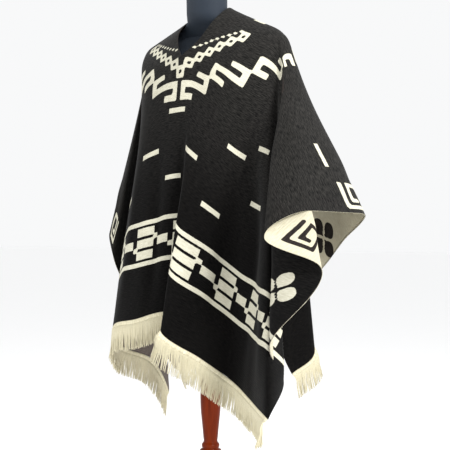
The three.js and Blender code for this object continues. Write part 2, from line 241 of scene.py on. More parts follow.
def ruled_cloth():
    """Rows of points on the cloth, their flat places and how far past the hinge."""
    at = []
    for i, start in enumerate(stations):
        stop = stations[i + 1] if i + 1 < len(stations) else total
        count = max(2, round((stop - start) / RULING_STEP))
        at.extend(start + (stop - start) * np.arange(count) / count)
    at.extend([total - END_GAP, split - SPLIT_GAP, split + SPLIT_GAP])
    line = rulings(np.array(sorted(at)))
    points = []
    flat = []
    beyond = []
    for t in np.linspace(0, 1, NECK_ROWS):
        points.append(place(line, (t - 1) * line["reach"]))
        flat.append(line["slit"] + (line["fold"] - line["slit"]) * t)
        beyond.append((t - 1) * line["reach"])
    for t in np.linspace(0, 1, HANGING_ROWS)[1:]:
        points.append(place(line, t * line["hang"]))
        flat.append(line["fold"] + (line["edge"] - line["fold"]) * t)
        beyond.append(t * line["hang"])
    return np.array(points), np.array(flat), np.array(beyond)


# Soft creases drawn on the flat cloth: start and end (across, along), half
# width and height. The height is positive for a ridge.
CREASES = [
    (60, -330, 95, -840, 26, 4.5),
    (130, -420, 150, -700, 16, -3.0),
    (205, -300, 260, -850, 30, 5.0),
    (250, -520, 300, -800, 18, -3.5),
    (235, -270, 445, -645, 30, -9.0),
    (360, -420, 480, -840, 30, -5.0),
    (400, -230, 560, -500, 22, 3.5),
    (470, -560, 600, -820, 24, 4.5),
    (560, -260, 640, -430, 16, -3.0),
    (600, -120, 690, -250, 18, 3.0),
    (580, 20, 700, -60, 20, -2.5),
    (540, 90, 690, 160, 22, 3.5),
    (470, 150, 640, 330, 26, -4.0),
    (420, 230, 600, 560, 28, 5.0),
    (330, 320, 430, 700, 22, -4.0),
    (240, 330, 300, 760, 30, 5.5),
    (150, 420, 170, 720, 20, -3.5),
    (50, 340, 60, 770, 28, 4.5),
    (-40, 460, -30, 700, 18, -3.0),
    (-130, 350, -150, 760, 26, 5.0),
    (-230, 430, -260, 660, 20, -3.5),
    (-310, 330, -390, 740, 28, 4.5),
    (-420, 260, -560, 620, 24, -4.0),
    (-500, 160, -650, 400, 22, 4.0),
    (-560, 40, -690, 120, 18, -2.5),
    (-560, -60, -690, -160, 20, 3.0),
    (-500, -180, -650, -430, 24, -3.5),
    (-420, -260, -560, -640, 26, 4.5),
    (-330, -330, -420, -780, 22, -4.0),
    (-240, -300, -280, -820, 28, 4.0),
    (-150, -420, -190, -820, 26, 5.0),
    (-76, -390, -52, -850, 28, -10.0),
    (20, -420, 30, -600, 14, -2.5),
    (640, -560, 690, -820, 20, 3.5),
    (-640, -480, -690, -800, 22, -3.0),
    (640, 380, 690, 740, 22, 3.5),
    (-640, 420, -690, 740, 20, 3.0),
]
CREASE_BOW = 10
# A crease's fade, as shares of its length: it starts before the crease's end
# and is full inside it. The hinge's fade is in millimetres past the hinge.
CREASE_FADE = (-0.12, 0.28)
CREASE_HINGE_FADE = (10, 160)


def crease_height(across, along):
    """How far the soft creases lift the cloth off its ruled shape."""
    height = np.zeros_like(across)
    for u0, v0, u1, v1, width, rise in CREASES:
        run = np.array([u1 - u0, v1 - v0], float)
        length = np.linalg.norm(run)
        run /= length
        part = ((across - u0) * run[0] + (along - v0) * run[1]) / length
        bow = CREASE_BOW * np.sin(math.pi * np.clip(part, 0, 1))
        side = (across - u0) * run[1] - (along - v0) * run[0] + bow
        fade = ramp(part, *CREASE_FADE) * ramp(1 - part, *CREASE_FADE)
        height += rise * fade * np.exp(-((side / width) ** 2))
    return height


# Motifs are depths inside a stroke, negative outside it, kept within a limit.
FAR_OUTSIDE = -200.0
DEPTH_LIMIT = 12


def box(across, along, centre, size):
    """Depth inside a weave-aligned box, negative outside it."""
    return np.minimum(size[0] / 2 - abs(across - centre[0]), size[1] / 2 - abs(along - centre[1]))


def boxes(across, along, rows):
    """Depth inside the nearest of several boxes."""
    depth = np.full_like(across, FAR_OUTSIDE)
    for u, v, width, height in rows:
        depth = np.maximum(depth, box(across, along, (u, v), (width, height)))
    return depth


def deeper(one, other):
    """The depths in whichever of two strokes a point is deeper inside."""
    return np.where(other.min(0) > one.min(0), other, one)


def strokes(across, along, rows):
    """Depths from the sides and the ends of the nearest stroke."""
    pair = np.full((2, len(across)), FAR_OUTSIDE)
    for u, v, width, height in rows:
        stroke = np.stack([width / 2 - abs(across - u), height / 2 - abs(along - v)])
        pair = deeper(pair, stroke)
    return pair


def even(depth):
    """A pair with the same depth twice."""
    return np.stack([depth, depth])


# Motif rows hold centre across, centre along, width and height of a stroke.
STEP_FRET = [
    (0, 0, 92, 18),
    (-38.5, -17, 15, 52),
    (-23.5, -34, 45, 17),
    (38.5, 17, 15, 52),
    (23.5, 34, 45, 17),
]
LADDER = [
    (45, -30, 62, 22),
    (45, 0, 62, 22),
    (45, 30, 62, 22),
    (115, 0, 46, 22),
]
LADDER_LINKS = [
    (82, 15, 16, 13),
    (148, -15, 16, 13),
]
SPIRAL = [
    (0, -32, 75, 11),
    (32, 0, 11, 75),
    (0, 32, 75, 11),
    (-32, 11, 11, 53),
    (-10, -10, 55, 11),
    (12, 0, 11, 31),
]
BARS = [
    (0, -341, 60, 13),
    (0, -515, 58, 12),
    (98, -436, 60, 13),
    (238, -352, 58, 13),
    (210, -527, 60, 13),
    (325, -312, 50, 12),
    (353, -446, 50, 12),
    (555, -57, 64, 8),
    (470, -350, 56, 12),
]
BACK_BARS = [row for row in BARS if row[1] < SLIT_FRONT]
SHOULDER_HOOK = [(264, -32, 16, 40), (280, -45, 24, 13)]

# The yoke's rows climb outwards from the slit: start and step (across, along).
SQUARES = 7
SQUARE_START = (0, -240)
SQUARE_STEP = (19.2, 28)
SQUARE = (25, 33)
SQUARE_HOLE = (9, 11)
DOTS = 9
DOT_START = (7, -157)
DOT_STEP = (11.4, 12.2)
DOT = (10.5, 8)
FRETS = 3
FRET_START = (53, -273)
FRET_STEP = (91, 83)

# The yoke and the bars are mirrored, front to back, about this line, and the
# outside's painted light is palest on it.
MIRROR_LINE = -30
# The hem's two lines, by their rise over it, and the ladder between them.
LINE_RISES = (139, 246)
LINE_HALF_WIDTH = 5.8
LADDER_RISE = sum(LINE_RISES) / 2
LADDER_REPEAT = 140

# The selvedge rows of the wearer's left, then right: across, along and size
# for a flower, with the way it winds for a fret.
SIDE_FLOWERS = (
    ((641, -530, 0.84), (655, 240, 1.15), (650, 560, 0.9)),
    ((650, -440, 0.95), (650, 150, 1.0), (650, 560, 0.9)),
)
SIDE_FRETS = (
    ((660, -376, 0.84, -1), (664, -18, 0.95, 1), (655, 400, 0.95, 1)),
    ((660, -180, 0.95, 1), (660, 360, 0.95, 1)),
)
PETAL_CENTRE = 20.5
PETAL_GAP = 1.2
PETAL_HALF = 18.5
PETAL_POWER = 2.4
POINT_CENTRE = 8.5
POINT_HALF = 5

# On the inside the ground is cream from here to the selvedge.
CREAM_START = 520


def climbing(start, step, count):
    """Centres of a row of like motifs."""
    return [(start[0] + step[0] * k, start[1] + step[1] * k) for k in range(count)]


def yoke(across, along):
    """The chain of open squares with dots above and frets below it."""
    side = abs(across)
    depth = np.full_like(side, FAR_OUTSIDE)
    for centre in climbing(SQUARE_START, SQUARE_STEP, SQUARES):
        ring = np.minimum(
            box(side, along, centre, SQUARE), -box(side, along, centre, SQUARE_HOLE)
        )
        depth = np.maximum(depth, ring)
    for centre in climbing(DOT_START, DOT_STEP, DOTS):
        depth = np.maximum(depth, box(side, along, centre, DOT))
    depth = np.maximum(depth, boxes(side, along, SHOULDER_HOOK))
    for u, v in climbing(FRET_START, FRET_STEP, FRETS):
        depth = np.maximum(depth, boxes(side - u, along - v, STEP_FRET))
    return depth


def hem_band(across, rise):
    """Two lines and the ladder repeat between them, rise up from the hem."""
    pair = even(np.full_like(rise, FAR_OUTSIDE))
    for line in LINE_RISES:
        pair = deeper(pair, even(LINE_HALF_WIDTH - abs(rise - line)))
    height = rise - LADDER_RISE
    for shift in (-LADDER_REPEAT, 0, LADDER_REPEAT):
        inner = np.mod(across, LADDER_REPEAT) + shift
        pair = deeper(pair, strokes(inner, height, LADDER))
        pair = deeper(pair, even(boxes(inner, height, LADDER_LINKS)))
    return pair


def flower(across, along, size):
    """Four rounded petals about a thin dark cross, turned to the weave."""
    a = abs(across + along) * math.sqrt(0.5)
    b = abs(across - along) * math.sqrt(0.5)
    middle = PETAL_CENTRE * size + PETAL_GAP
    half = PETAL_HALF * size
    radius = abs((a - middle) / half) ** PETAL_POWER + abs((b - middle) / half) ** PETAL_POWER
    petal = 1 - radius ** (1 / PETAL_POWER)
    point = POINT_HALF - np.maximum(abs(a - POINT_CENTRE), abs(b - POINT_CENTRE))
    return np.maximum(petal * half, point)


def spiral(across, along, size, turn):
    """A square spiral, wound the other way where turn is -1."""
    rows = [(u * size, v * size * turn, w * size, h * size) for u, v, w, h in SPIRAL]
    return boxes(across, along, rows)


def side_row(across, along):
    """The flowers and spirals along the selvedges, both sides in one."""
    side = abs(across)
    rows = []
    for flowers, frets in zip(SIDE_FLOWERS, SIDE_FRETS):
        depth = np.full_like(along, FAR_OUTSIDE)
        for u, v, size in flowers:
            depth = np.maximum(depth, flower(side - u, along - v, size))
        for u, v, size, turn in frets:
            depth = np.maximum(depth, spiral(side - u, along - v, size, turn))
        rows.append(depth)
    return np.where(across > 0, rows[0], rows[1])


def outside_motif(across, along):
    """The outside's cream motifs, as depths from their sides and ends."""
    side = abs(across)
    mirrored = 2 * MIRROR_LINE - along
    depth = np.maximum(yoke(across, along), yoke(across, mirrored))
    pair = even(np.maximum(depth, side_row(across, along)))
    pair = deeper(pair, hem_band(across, along - FRONT_HEM))
    pair = deeper(pair, hem_band(across, BACK_HEM - along))
    pair = deeper(pair, strokes(side, along, BARS))
    return deeper(pair, strokes(side, mirrored, BACK_BARS))


def hem_distance(along):
    """How far up the cloth a place is from the nearer hem."""
    return np.minimum(along - FRONT_HEM, BACK_HEM - along)


def cream_ground(across, along):
    """The bands along the selvedges, down to the lower line over each hem."""
    return np.minimum(abs(across) - CREAM_START, hem_distance(along) - LINE_RISES[0])


def inside_motif(across, along):
    """Depths inside the cream ground, cut by the dark motifs on it."""
    return np.minimum(cream_ground(across, along), -side_row(across, along))


# Lines of the cloth's grid: from the middle to a selvedge, then along it from
# the front hem by the slit's two ends to the back hem.
GRID_ACROSS = 137
GRID_FRONT = 129
GRID_SLIT = 59
GRID_BACK = 132
SLIT_HALF_GAP = 0.02


def flat_grid():
    """Rows of the flat cloth, aligned to the weave and parted along the slit."""
    columns = np.linspace(0, HALF_WIDTH, GRID_ACROSS)
    rows = np.concatenate(
        [
            np.linspace(FRONT_HEM, SLIT_FRONT, GRID_FRONT)[:-1],
            np.linspace(SLIT_FRONT, SLIT_BACK, GRID_SLIT),
            np.linspace(SLIT_BACK, BACK_HEM, GRID_BACK)[1:],
        ]
    )
    numbers = {}
    flat = []
    faces = []

    def vertex(side, i, j):
        open_slit = SLIT_FRONT < rows[j] < SLIT_BACK
        key = (side if i or open_slit else 0, i, j)
        if key not in numbers:
            numbers[key] = len(flat)
            flat.append((side * max(columns[i], SLIT_HALF_GAP if open_slit else 0), rows[j]))
        return numbers[key]

    for side in (1, -1):
        for j in range(len(rows) - 1):
            for i in range(len(columns) - 1):
                face = [
                    vertex(side, i, j),
                    vertex(side, i + 1, j),
                    vertex(side, i + 1, j + 1),
                    vertex(side, i, j + 1),
                ]
                faces.append(face if side > 0 else face[::-1])
    return np.array(flat), np.array(faces)


def twice_area(start, one, other):
    """Twice the area, with its sign, of the triangle of three flat places."""
    across = (one[0] - start[0]) * (other[1] - start[1])
    return across - (one[1] - start[1]) * (other[0] - start[0])


def drape(flat):
    """Points of the draped cloth and how far each is past the hinge."""
    points, places, beyond = ruled_cloth()
    rings, count = beyond.shape
    corners = places.reshape(-1, 2)
    rows = np.arange(rings - 1)[:, None] * count
    here = np.arange(count)[None]
    a = (rows + here).ravel()
    b = (rows + (here + 1) % count).ravel()
    upper = np.stack([a, b, b + count], 1)
    lower = np.stack([a, b + count, a + count], 1)
    triangles = np.concatenate([upper, lower])
    tree = BVHTree.FromPolygons(
        [(u, v, 0.0) for u, v in corners.tolist()], triangles.tolist(), epsilon=0.0
    )
    values = np.concatenate([points.reshape(-1, 3), beyond.reshape(-1, 1)], 1)
    out = np.empty((len(flat), 4))
    for n, (u, v) in enumerate(flat.tolist()):
        spot, _, index, _ = tree.find_nearest(Vector((u, v, 0.0)))
        triangle = triangles[index]
        p, q, r = corners[triangle]
        area = twice_area(p, q, r)
        share_q = twice_area(p, spot, r) / area
        share_r = twice_area(p, q, spot) / area
        at_p, at_q, at_r = values[triangle]
        out[n] = (1 - share_q - share_r) * at_p + share_q * at_q + share_r * at_r
    return out[:, :3], out[:, 3]


def point_normals(points, faces):
    """The cloth's outward ways, each the mean of its faces' by their size."""
    across = points[faces[:, 2]] - points[faces[:, 0]]
    along = points[faces[:, 3]] - points[faces[:, 1]]
    face_normals = np.cross(across, along)
    normals = np.zeros_like(points)
    for k in range(4):
        np.add.at(normals, faces[:, k], face_normals)
    return unit(normals)


def relax(points, faces, rounds):
    """Evens the points out, with the free edges held."""
    pairs = np.concatenate([faces[:, [k, (k + 1) % 4]] for k in range(4)])
    key = np.sort(pairs, axis=1)
    _, where, uses = np.unique(key, axis=0, return_index=True, return_counts=True)
    links = key[where]
    free_edges = links[uses == 1]
    held = np.zeros(len(points), bool)
    held[free_edges.ravel()] = True
    for _ in range(rounds):
        near = np.zeros_like(points)
        number = np.zeros(len(points))
        for a, b in ((0, 1), (1, 0)):
            np.add.at(near, links[:, a], points[links[:, b]])
            np.add.at(number, links[:, a], 1)
        mean = near / number[:, None]
        points = np.where(held[:, None], points, 0.5 * points + 0.5 * mean)
    return points, free_edges


def new_object(name, points, faces, flat=None, values=None):
    """A smooth object from sizes in millimetres, with its place on the weave."""
    mesh = bpy.data.meshes.new(name)
    mesh.from_pydata((np.asarray(points) / MM_PER_M).tolist(), [], faces)
    for polygon in mesh.polygons:
        polygon.use_smooth = True
    if flat is not None:
        layer = mesh.uv_layers.new(name="weave")
        loops = np.empty(len(mesh.loops), np.int32)
        mesh.loops.foreach_get("vertex_index", loops)
        places = (np.asarray(flat)[loops] / MM_PER_M).astype(np.float32)
        layer.data.foreach_set("uv", places.ravel())
    for key, data in (values or {}).items():
        attribute = mesh.attributes.new(key, "FLOAT", "POINT")
        attribute.data.foreach_set("value", np.asarray(data, np.float32))
    mesh.update()
    obj = bpy.data.objects.new(name, mesh)
    bpy.context.scene.collection.objects.link(obj)
    return obj


# Painted light: the outside is painted paler over the shoulders and sleeves,
# where light falls, and darker towards the hems; the inside's middle is taupe
# near the hems and painted shade, darker, past this fade.
PAINTED_LIGHT_START = 130
PAINTED_LIGHT_END = 580
# The inside's painted shade comes in between these distances from the hems.
TAUPE_START = 150
TAUPE_END = 420
# The inside's middle gives way over this width outside its cream ground.
GROUND_MARGIN = 1
RELAX_ROUNDS = 3

flat, faces = flat_grid()
across, along = flat.T
ruled_points, beyond = drape(flat)
even_points, free_edges = relax(ruled_points, faces, RELAX_ROUNDS)
crease = crease_height(across, along) * ramp(beyond, *CREASE_HINGE_FADE)
points = even_points + point_normals(even_points, faces) * crease[:, None]
normals = point_normals(points, faces)
outer_points = points + normals * HALF_WALL
inner_points = points - normals * HALF_WALL


def outside_cloth():
    sides, ends = np.clip(outside_motif(across, along), -DEPTH_LIMIT, DEPTH_LIMIT)
    # Painted light: 1 over the shoulders, where the outside is painted palest, falling to 0
    # towards the hems.
    painted_light = 1 - ramp(abs(along - MIRROR_LINE), PAINTED_LIGHT_START, PAINTED_LIGHT_END)
    values = {"motif": sides, "motif_ends": ends, "painted_light": painted_light}
    return new_object("poncho_outside", outer_points, faces.tolist(), flat, values)


def inside_cloth():
    """The cloth's inner face, with the rim that closes it to the outer one."""
    rim = np.unique(free_edges)
    rim_number = {int(v): len(inner_points) + n for n, v in enumerate(rim)}
    directed = {(int(face[k]), int(face[(k + 1) % 4])) for face in faces for k in range(4)}
    rim_faces = []
    for a, b in free_edges.tolist():
        if (a, b) not in directed:
            a, b = b, a
        rim_faces.append((b, a, rim_number[a], rim_number[b]))

    def with_rim(depth):
        plain = np.full(len(rim), FAR_OUTSIDE)
        return np.clip(np.concatenate([depth, plain]), -DEPTH_LIMIT, DEPTH_LIMIT)

    # Painted shade: 1 near the hems, where the inside is taupe, falling to 0 further up, where it
    # is painted dark as shade within the cloth.
    taupe = 1 - ramp(hem_distance(along), TAUPE_START, TAUPE_END)
    values = {
        "motif": with_rim(inside_motif(across, along)),
        "painted_light": np.concatenate([taupe, taupe[rim]]),
        "band": with_rim(cream_ground(across, along) + GROUND_MARGIN),
    }
    return new_object(
        "poncho_inside",
        np.concatenate([inner_points, outer_points[rim]]),
        faces[:, ::-1].tolist() + rim_faces,
        np.concatenate([flat, flat[rim]]),
        values,
    )


outside = outside_cloth()
inside = inside_cloth()

# Fringe: yarns off each hem, in small uneven bunches, under a plaited edge.
YARNS = 960
BUNCH = 4
YARN_INSET = 2
YARN_LENGTH = 67
YARN_RADIUS = 1.25
YARN_SIDES = 4
YARN_TAPER = 0.35
# Each yarn is turned by this angle more than the one before it.
YARN_TURN = 0.6
YARN_FRACTIONS = (0.0, 0.12, 0.3, 0.5, 0.72, 0.9, 1.0)
# How widely the yarns and the bunches sway and the lengths differ, and how
# much a yarn is pulled to its bunch's middle, in an arch of part of a half turn.
YARN_SWAY = 1.9
BUNCH_SWAY = 1.1
LENGTH_SPREAD = 0.09
LENGTH_MIDDLE = 0.6
PULL = (0.1, 0.4)
PULL_ARCH = 0.9
# A yarn starts at this share of the edge's height.
YARN_ROOT = 0.85
# Over the first half of its length it turns from the cloth's way down to a
# mix of that and the plumb, in these shares.
CLOTH_SHARE = 0.35
PLUMB_SHARE = 0.65
# What a yarn reads of the weave's texture: a strip a side, and its length.
TEXTURE_SHIFT = 40
TEXTURE_LENGTH = 70
# The plaited edge, its depth uneven along the hem.
EDGE_GAP = 0.3
EDGE_HEIGHT = 11
EDGE_HALF_DEPTH = 1.9
EDGE_STATIONS = 560
EDGE_SIDES = 8
PLAIT_WAVE = 0.35
PLAIT_TURN = 2.1
# A hem is the grid's row within the tolerance, and its way sideways is read
# this far to both sides of a place.
ROW_TOLERANCE = 0.01
TANGENT_REACH = 4


def hem_curve(hem, at):
    """Spots along a hem, with the ways down, outwards and sideways there."""
    row = np.where(abs(along - hem) < ROW_TOLERANCE)[0]
    row = row[np.argsort(across[row])]

    def read(values, at):
        return np.stack([np.interp(at, across[row], values[row, k]) for k in range(3)], 1)

    spots = read(points, at)
    outs = unit(read(normals, at))
    sides = unit(read(points, at + TANGENT_REACH) - read(points, at - TANGENT_REACH))
    downs = unit(np.cross(sides, outs))
    downs = downs * np.sign(-downs[:, 2:3])
    return spots, downs, outs, sides


def tube_faces(first, rings, sides):
    """The sides and both ends of a tube, from its first point's number."""
    polygons = []
    for ring in range(rings - 1):
        for k in range(sides):
            low = first + ring * sides + k
            side = first + ring * sides + (k + 1) % sides
            polygons.append((low, side, side + sides, low + sides))
    last = first + sides * (rings - 1)
    polygons.append([first + k for k in range(sides - 1, -1, -1)])
    polygons.append([last + k for k in range(sides)])
    return polygons


def yarns(hem, rng):
    """Points, texture places and faces of all yarns of a hem."""
    start = -HALF_WIDTH + YARN_INSET
    at = np.linspace(start, -start, YARNS)
    bunch = np.arange(YARNS) // BUNCH
    centre = start + (bunch * BUNCH + (BUNCH - 1) / 2) * -2 * start / (YARNS - 1)
    spots, downs, outs, sides = hem_curve(hem, at)
    lengths = YARN_LENGTH * (1 + LENGTH_SPREAD * (rng.random(YARNS) - LENGTH_MIDDLE))
    sway = rng.normal(0, YARN_SWAY, (YARNS, 2))
    bunch_sway = rng.normal(0, BUNCH_SWAY, (YARNS // BUNCH + 1, 2))
    sway = sway + np.repeat(bunch_sway, BUNCH, 0)[:YARNS]
    pull = (centre - at) * rng.uniform(*PULL, YARNS)
    vertices = []
    places = []
    polygons = []
    for n in range(YARNS):
        polygons.extend(tube_faces(len(vertices), len(YARN_FRACTIONS), YARN_SIDES))
        root = spots[n] + downs[n] * (EDGE_GAP + EDGE_HEIGHT * YARN_ROOT)
        fall = unit(CLOTH_SHARE * downs[n] + np.array([0, 0, -PLUMB_SHARE]))
        for part in YARN_FRACTIONS:
            turned_down = min(1, 2 * part)
            way = downs[n] * (1 - turned_down) + fall * turned_down
            aside = pull[n] * math.sin(math.pi * PULL_ARCH * part) + sway[n, 0] * part**2
            outwards = sway[n, 1] * part**2
            spot = root + way * lengths[n] * part + sides[n] * aside + outs[n] * outwards
            radius = YARN_RADIUS * (1 - YARN_TAPER * part**2)
            for k in range(YARN_SIDES):
                angle = math.pi / 2 * k + YARN_TURN * n
                around_yarn = sides[n] * math.cos(angle) + outs[n] * math.sin(angle)
                vertices.append(spot + radius * around_yarn)
                places.append((at[n] + TEXTURE_SHIFT * k, part * TEXTURE_LENGTH))
    return vertices, places, polygons


def plaited_edge(hem):
    """Points and texture places of the edge that the yarns come out of."""
    at = np.linspace(-HALF_WIDTH, HALF_WIDTH, EDGE_STATIONS)
    spots, downs, outs, _ = hem_curve(hem, at)
    flat_top = math.cos(math.pi / EDGE_SIDES)
    vertices = []
    places = []
    for n in range(EDGE_STATIONS):
        half_depth = EDGE_HALF_DEPTH + PLAIT_WAVE * math.sin(n * PLAIT_TURN)
        for k in range(EDGE_SIDES):
            angle = 2 * math.pi * (k + 0.5) / EDGE_SIDES
            high = EDGE_GAP + EDGE_HEIGHT / 2 * (1 - math.cos(angle) / flat_top)
            wide = math.sin(angle) * half_depth
            vertices.append(spots[n] + downs[n] * high + outs[n] * wide)
            places.append((at[n], high))
    return vertices, places


def fringe(name, hem, seed):
    """A hem's yarns and plaited edge as one object, its faces turned outwards."""
    vertices, places, polygons = yarns(hem, np.random.default_rng(seed))
    polygons.extend(tube_faces(len(vertices), EDGE_STATIONS, EDGE_SIDES))
    edge_vertices, edge_places = plaited_edge(hem)
    obj = new_object(name, vertices + edge_vertices, polygons, places + edge_places)
    work = bmesh.new()
    work.from_mesh(obj.data)
    bmesh.ops.recalc_face_normals(work, faces=work.faces)
    work.to_mesh(obj.data)
    work.free()
    return obj


fringe_front = fringe("fringe_yarns_front", FRONT_HEM, seed=7)
fringe_back = fringe("fringe_yarns_back", BACK_HEM, seed=8)

# The limbless form: height, half width, half depth and centre along Y.
FORM = [
    (760, 120, 92, 0),
    (764, 135, 101, 0),
    (774, 146, 108, 0),
    (800, 148.5, 109.2, 0),
    (860, 152, 112, 0),
    (980, 132, 94, 0),
    (1080, 138, 96, -2),
    (1180, 152, 104, -6),
    (1260, 165, 102, -6),
    (1310, 172, 92, 0),
    (1345, 177, 74, 4),
    (1375, 174, 52, 10),
    (1391, 154, 40, 10),
    (1406, 118.2, 40, 4),
    (1419, 82.5, 42, -4),
    (1430, 60.5, 48, -13),
    (1450, 57, 55, -17),
    (1500, 57, 56, -18),
    (1526, 57, 56, -19),
    (1532, 55, 54, -19),
    (1536, 50, 49, -19),
]
# The visible form is this much slimmer than the table, to clear the cloth.
FORM_SHRINK = 0.9
# The turned post and its foot: radius and height.
POST = [
    (30, 34.3), (34, 60), (31, 120), (24, 160), (20, 190), (23, 212), (28, 226), (28.4, 262),
    (22.5, 266), (23.8, 270), (23.8, 277), (19.4, 283), (20, 296), (23, 330), (26.5, 366),
    (28, 402), (27, 440), (25, 490), (22, 550), (21, 620), (24, 680), (26, 700), (21, 715),
    (19, 759.7),
]
FOOT = [(184, 0), (188, 1.2), (190, 6), (190, 12), (188, 16), (174, 22), (100, 28), (60, 34)]
POST_STEPS = 4
FORM_SEGMENTS = 96
POST_SEGMENTS = 64
FOOT_SEGMENTS = 96
SHARP_ANGLE = math.radians(50)


def turned(name, rings, segments, shrink=0.0):
    """A closed body of elliptic rings: height, half width, half depth, y."""
    vertices = []
    polygons = []
    angle = 2 * math.pi * np.arange(segments) / segments
    for z, half, depth, y in rings:
        x = (half - shrink) * np.cos(angle)
        vertices.extend(np.stack([x, y + (depth - shrink) * np.sin(angle), 0 * x + z], 1))
    for r in range(len(rings) - 1):
        for k in range(segments):
            after = (k + 1) % segments
            low = r * segments
            polygons.append((low + k, low + after, low + segments + after, low + segments + k))
    last = (len(rings) - 1) * segments
    centre = len(vertices)
    for ring in (rings[0], rings[-1]):
        vertices.append(np.array([0, ring[3], ring[0]]))
    for k in range(segments):
        after = (k + 1) % segments
        polygons.append((centre, after, k))
        polygons.append((centre + 1, last + k, last + after))
    obj = new_object(name, vertices, polygons)
    obj.data.set_sharp_from_angle(angle=SHARP_ANGLE)
    return obj


def finer(profile, steps):
    """The profile's points and more between them, along a smooth line."""
    rows = np.array(profile, float)
    lengths = np.linalg.norm(np.diff(rows, axis=0), axis=1)
    knots = np.concatenate([[0], np.cumsum(lengths)])
    at = [np.linspace(*span, steps + 1)[:-1] for span in zip(knots[:-1], knots[1:])]
    return smooth(knots, rows, np.append(np.concatenate(at), knots[-1]))


def round_rings(profile):
    return [(height, radius, radius, 0) for radius, height in profile]


form = turned("dress_form", FORM, FORM_SEGMENTS, FORM_SHRINK)
post = turned("stand_column", round_rings(finer(POST, POST_STEPS)), POST_SEGMENTS)
foot = turned("stand_foot", round_rings(FOOT), FOOT_SEGMENTS)


def linear(r, g, b):
    """A colour given as it looks on a screen, 0 to 255."""
    out = []
    for c in (r, g, b):
        c /= 255
        out.append(c / 12.92 if c <= 0.04045 else ((c + 0.055) / 1.055) ** 2.4)
    return (*out, 1.0)


# A colour mix node's sockets: the factor, the two colours and the result.
MIX_FACTOR = 0
MIX_LOW = 6
MIX_HIGH = 7
MIX_RESULT = 2


class Shader:
    """A material's nodes, with a short call for each kind used here."""

    def __init__(self, name):
        self.material = bpy.data.materials.new(name)
        self.material.use_nodes = True
        self.nodes = self.material.node_tree.nodes
        self.surface = next(n for n in self.nodes if n.type == "BSDF_PRINCIPLED")

    def give(self, socket, value):
        """Links an output to a socket, or sets the socket to a plain value."""
        if isinstance(value, bpy.types.NodeSocket):
            self.material.node_tree.links.new(value, socket)
        else:
            socket.default_value = value

    def node(self, kind, **inputs):
        made = self.nodes.new(kind)
        for key, value in inputs.items():
            self.give(made.inputs[key.replace("_", " ")], value)
        return made

    def weave(self):
        made = self.nodes.new("ShaderNodeUVMap")
        made.uv_map = "weave"
        return made.outputs["UV"]

    def attribute(self, name):
        made = self.nodes.new("ShaderNodeAttribute")
        made.attribute_name = name
        return made.outputs["Fac"]

    def noise(self, vector, stretch=None, **inputs):
        if stretch:
            vector = self.node("ShaderNodeMapping", Vector=vector, Scale=stretch).outputs["Vector"]
        return self.node("ShaderNodeTexNoise", Vector=vector, **inputs).outputs["Fac"]

    def mixed(self, factor, low, high, blend="MIX"):
        made = self.nodes.new("ShaderNodeMix")
        made.data_type = "RGBA"
        made.blend_type = blend
        self.give(made.inputs[MIX_FACTOR], factor)
        self.give(made.inputs[MIX_LOW], low)
        self.give(made.inputs[MIX_HIGH], high)
        return made.outputs[MIX_RESULT]

    def tinted(self, colour, tint):
        return self.mixed(1.0, colour, tint, "MULTIPLY")

    def stepped(self, value, low, high):
        made = self.node("ShaderNodeMapRange", Value=value, From_Min=low, From_Max=high)
        return made.outputs["Result"]

    def worked_out(self, operation, *values):
        made = self.nodes.new("ShaderNodeMath")
        made.operation = operation
        for socket, value in zip(made.inputs, values):
            self.give(socket, value)
        return made.outputs[0]

    def bump(self, height, strength, distance):
        made = self.node("ShaderNodeBump", Height=height, Strength=strength, Distance=distance)
        self.give(self.surface.inputs["Normal"], made.outputs["Normal"])

    def finished(self, colour, **finish):
        """The material, once its colour and its surface's values are given."""
        self.give(self.surface.inputs["Base Color"], colour)
        for key, value in finish.items():
            self.give(self.surface.inputs[key.replace("_", " ")], value)
        return self.material


# The wool's looks. Stretches are per metre of cloth, across and along it.
CLOTH_GRAIN = (70, 420, 1)
YARN_GRAIN = (800, 30, 1)
FUZZ_GRAIN = (700, 500, 1)
RAGGED_GRAIN = (160, 160, 1)
WOOL_ROUGHNESS = 0.6
FLECK_RANGE = (0.36, 0.66)
CLOUD_SCALE = 7.0
CLOUD_RANGE = (0.3, 0.7)
CLOUD_TINTS = ((0.88, 0.88, 0.88, 1.0), (1.08, 1.08, 1.08, 1.0))
# Painted light: tints that darken the charcoal towards the hems and pale it over the shoulders and
# sleeves.
PAINTED_LIGHT_TINTS = ((0.36, 0.36, 0.37, 1.0), (1.55, 1.6, 1.6, 1.0))
# A motif's edge wanders by RAGGED millimetres and is crossed within a range.
RAGGED = 1.6
MOTIF_RANGE = (0.4, 1.2)


def flecked(shader, grain, colours):
    flecks = shader.noise(shader.weave(), grain, Scale=1.0, Detail=4.0, Roughness=WOOL_ROUGHNESS)
    return shader.mixed(shader.stepped(flecks, *FLECK_RANGE), *colours)


def woven(shader, ground, pale, depth):
    """The pale yarn where the motif's depth is above zero, else the ground."""
    noise = shader.noise(
        shader.weave(), RAGGED_GRAIN, Scale=1.0, Detail=2.0, Roughness=WOOL_ROUGHNESS
    )
    ragged = shader.worked_out("MULTIPLY_ADD", noise, RAGGED, depth)
    return shader.mixed(shader.stepped(ragged, *MOTIF_RANGE), ground, pale)


